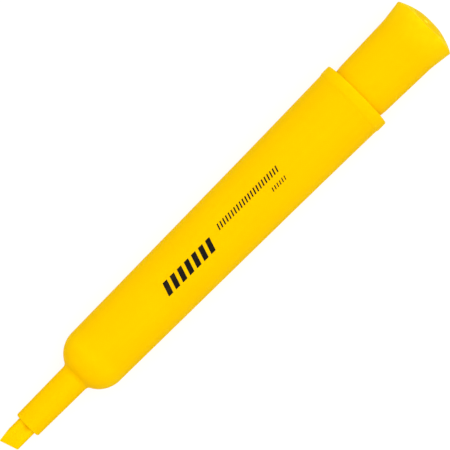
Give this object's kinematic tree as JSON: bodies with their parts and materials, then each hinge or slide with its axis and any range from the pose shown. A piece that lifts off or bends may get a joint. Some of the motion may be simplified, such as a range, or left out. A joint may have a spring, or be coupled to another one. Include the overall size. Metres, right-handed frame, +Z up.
{
  "type": "highlighter",
  "caption": "Tank highlighter pen with a chisel nib in a narrow nose and its flared cap pushed into the open rear of the tapering barrel.",
  "frame": {"origin": "under the middle of the pen's length and width, on the plane that the barrel's rear lip touches as the pen lies on its side", "axes": "+X along the pen from the nib to the cap's closed end, +Z up, square to the nib's broad face, +Y across the pen on the side of the nib's leading corner"},
  "size_m": [0.1382, 0.0186, 0.0185],
  "materials": {
    "yellow_plastic": "satin moulded polypropylene",
    "nib_felt": "porous felt soaked in ink",
    "ink_fibre": "bundled fibre soaked in ink",
    "wrap_film": "clear film",
    "natural_plastic": "natural moulded polyethylene"
  },
  "bodies": {
    "barrel_body": {"barrel": "yellow_plastic", "nib": "nib_felt", "ink_reservoir": "ink_fibre", "reservoir_wrap": "wrap_film", "rear_plug": "yellow_plastic"},
    "cap": {"cap_shell": "yellow_plastic", "cap_liner": "natural_plastic"}
  },
  "joints": [
    {"name": "cap_pull", "type": "slide", "parent": "barrel_body", "child": "cap", "axis": [1, 0, 0], "range_m": [0, 0.045]}
  ]
}
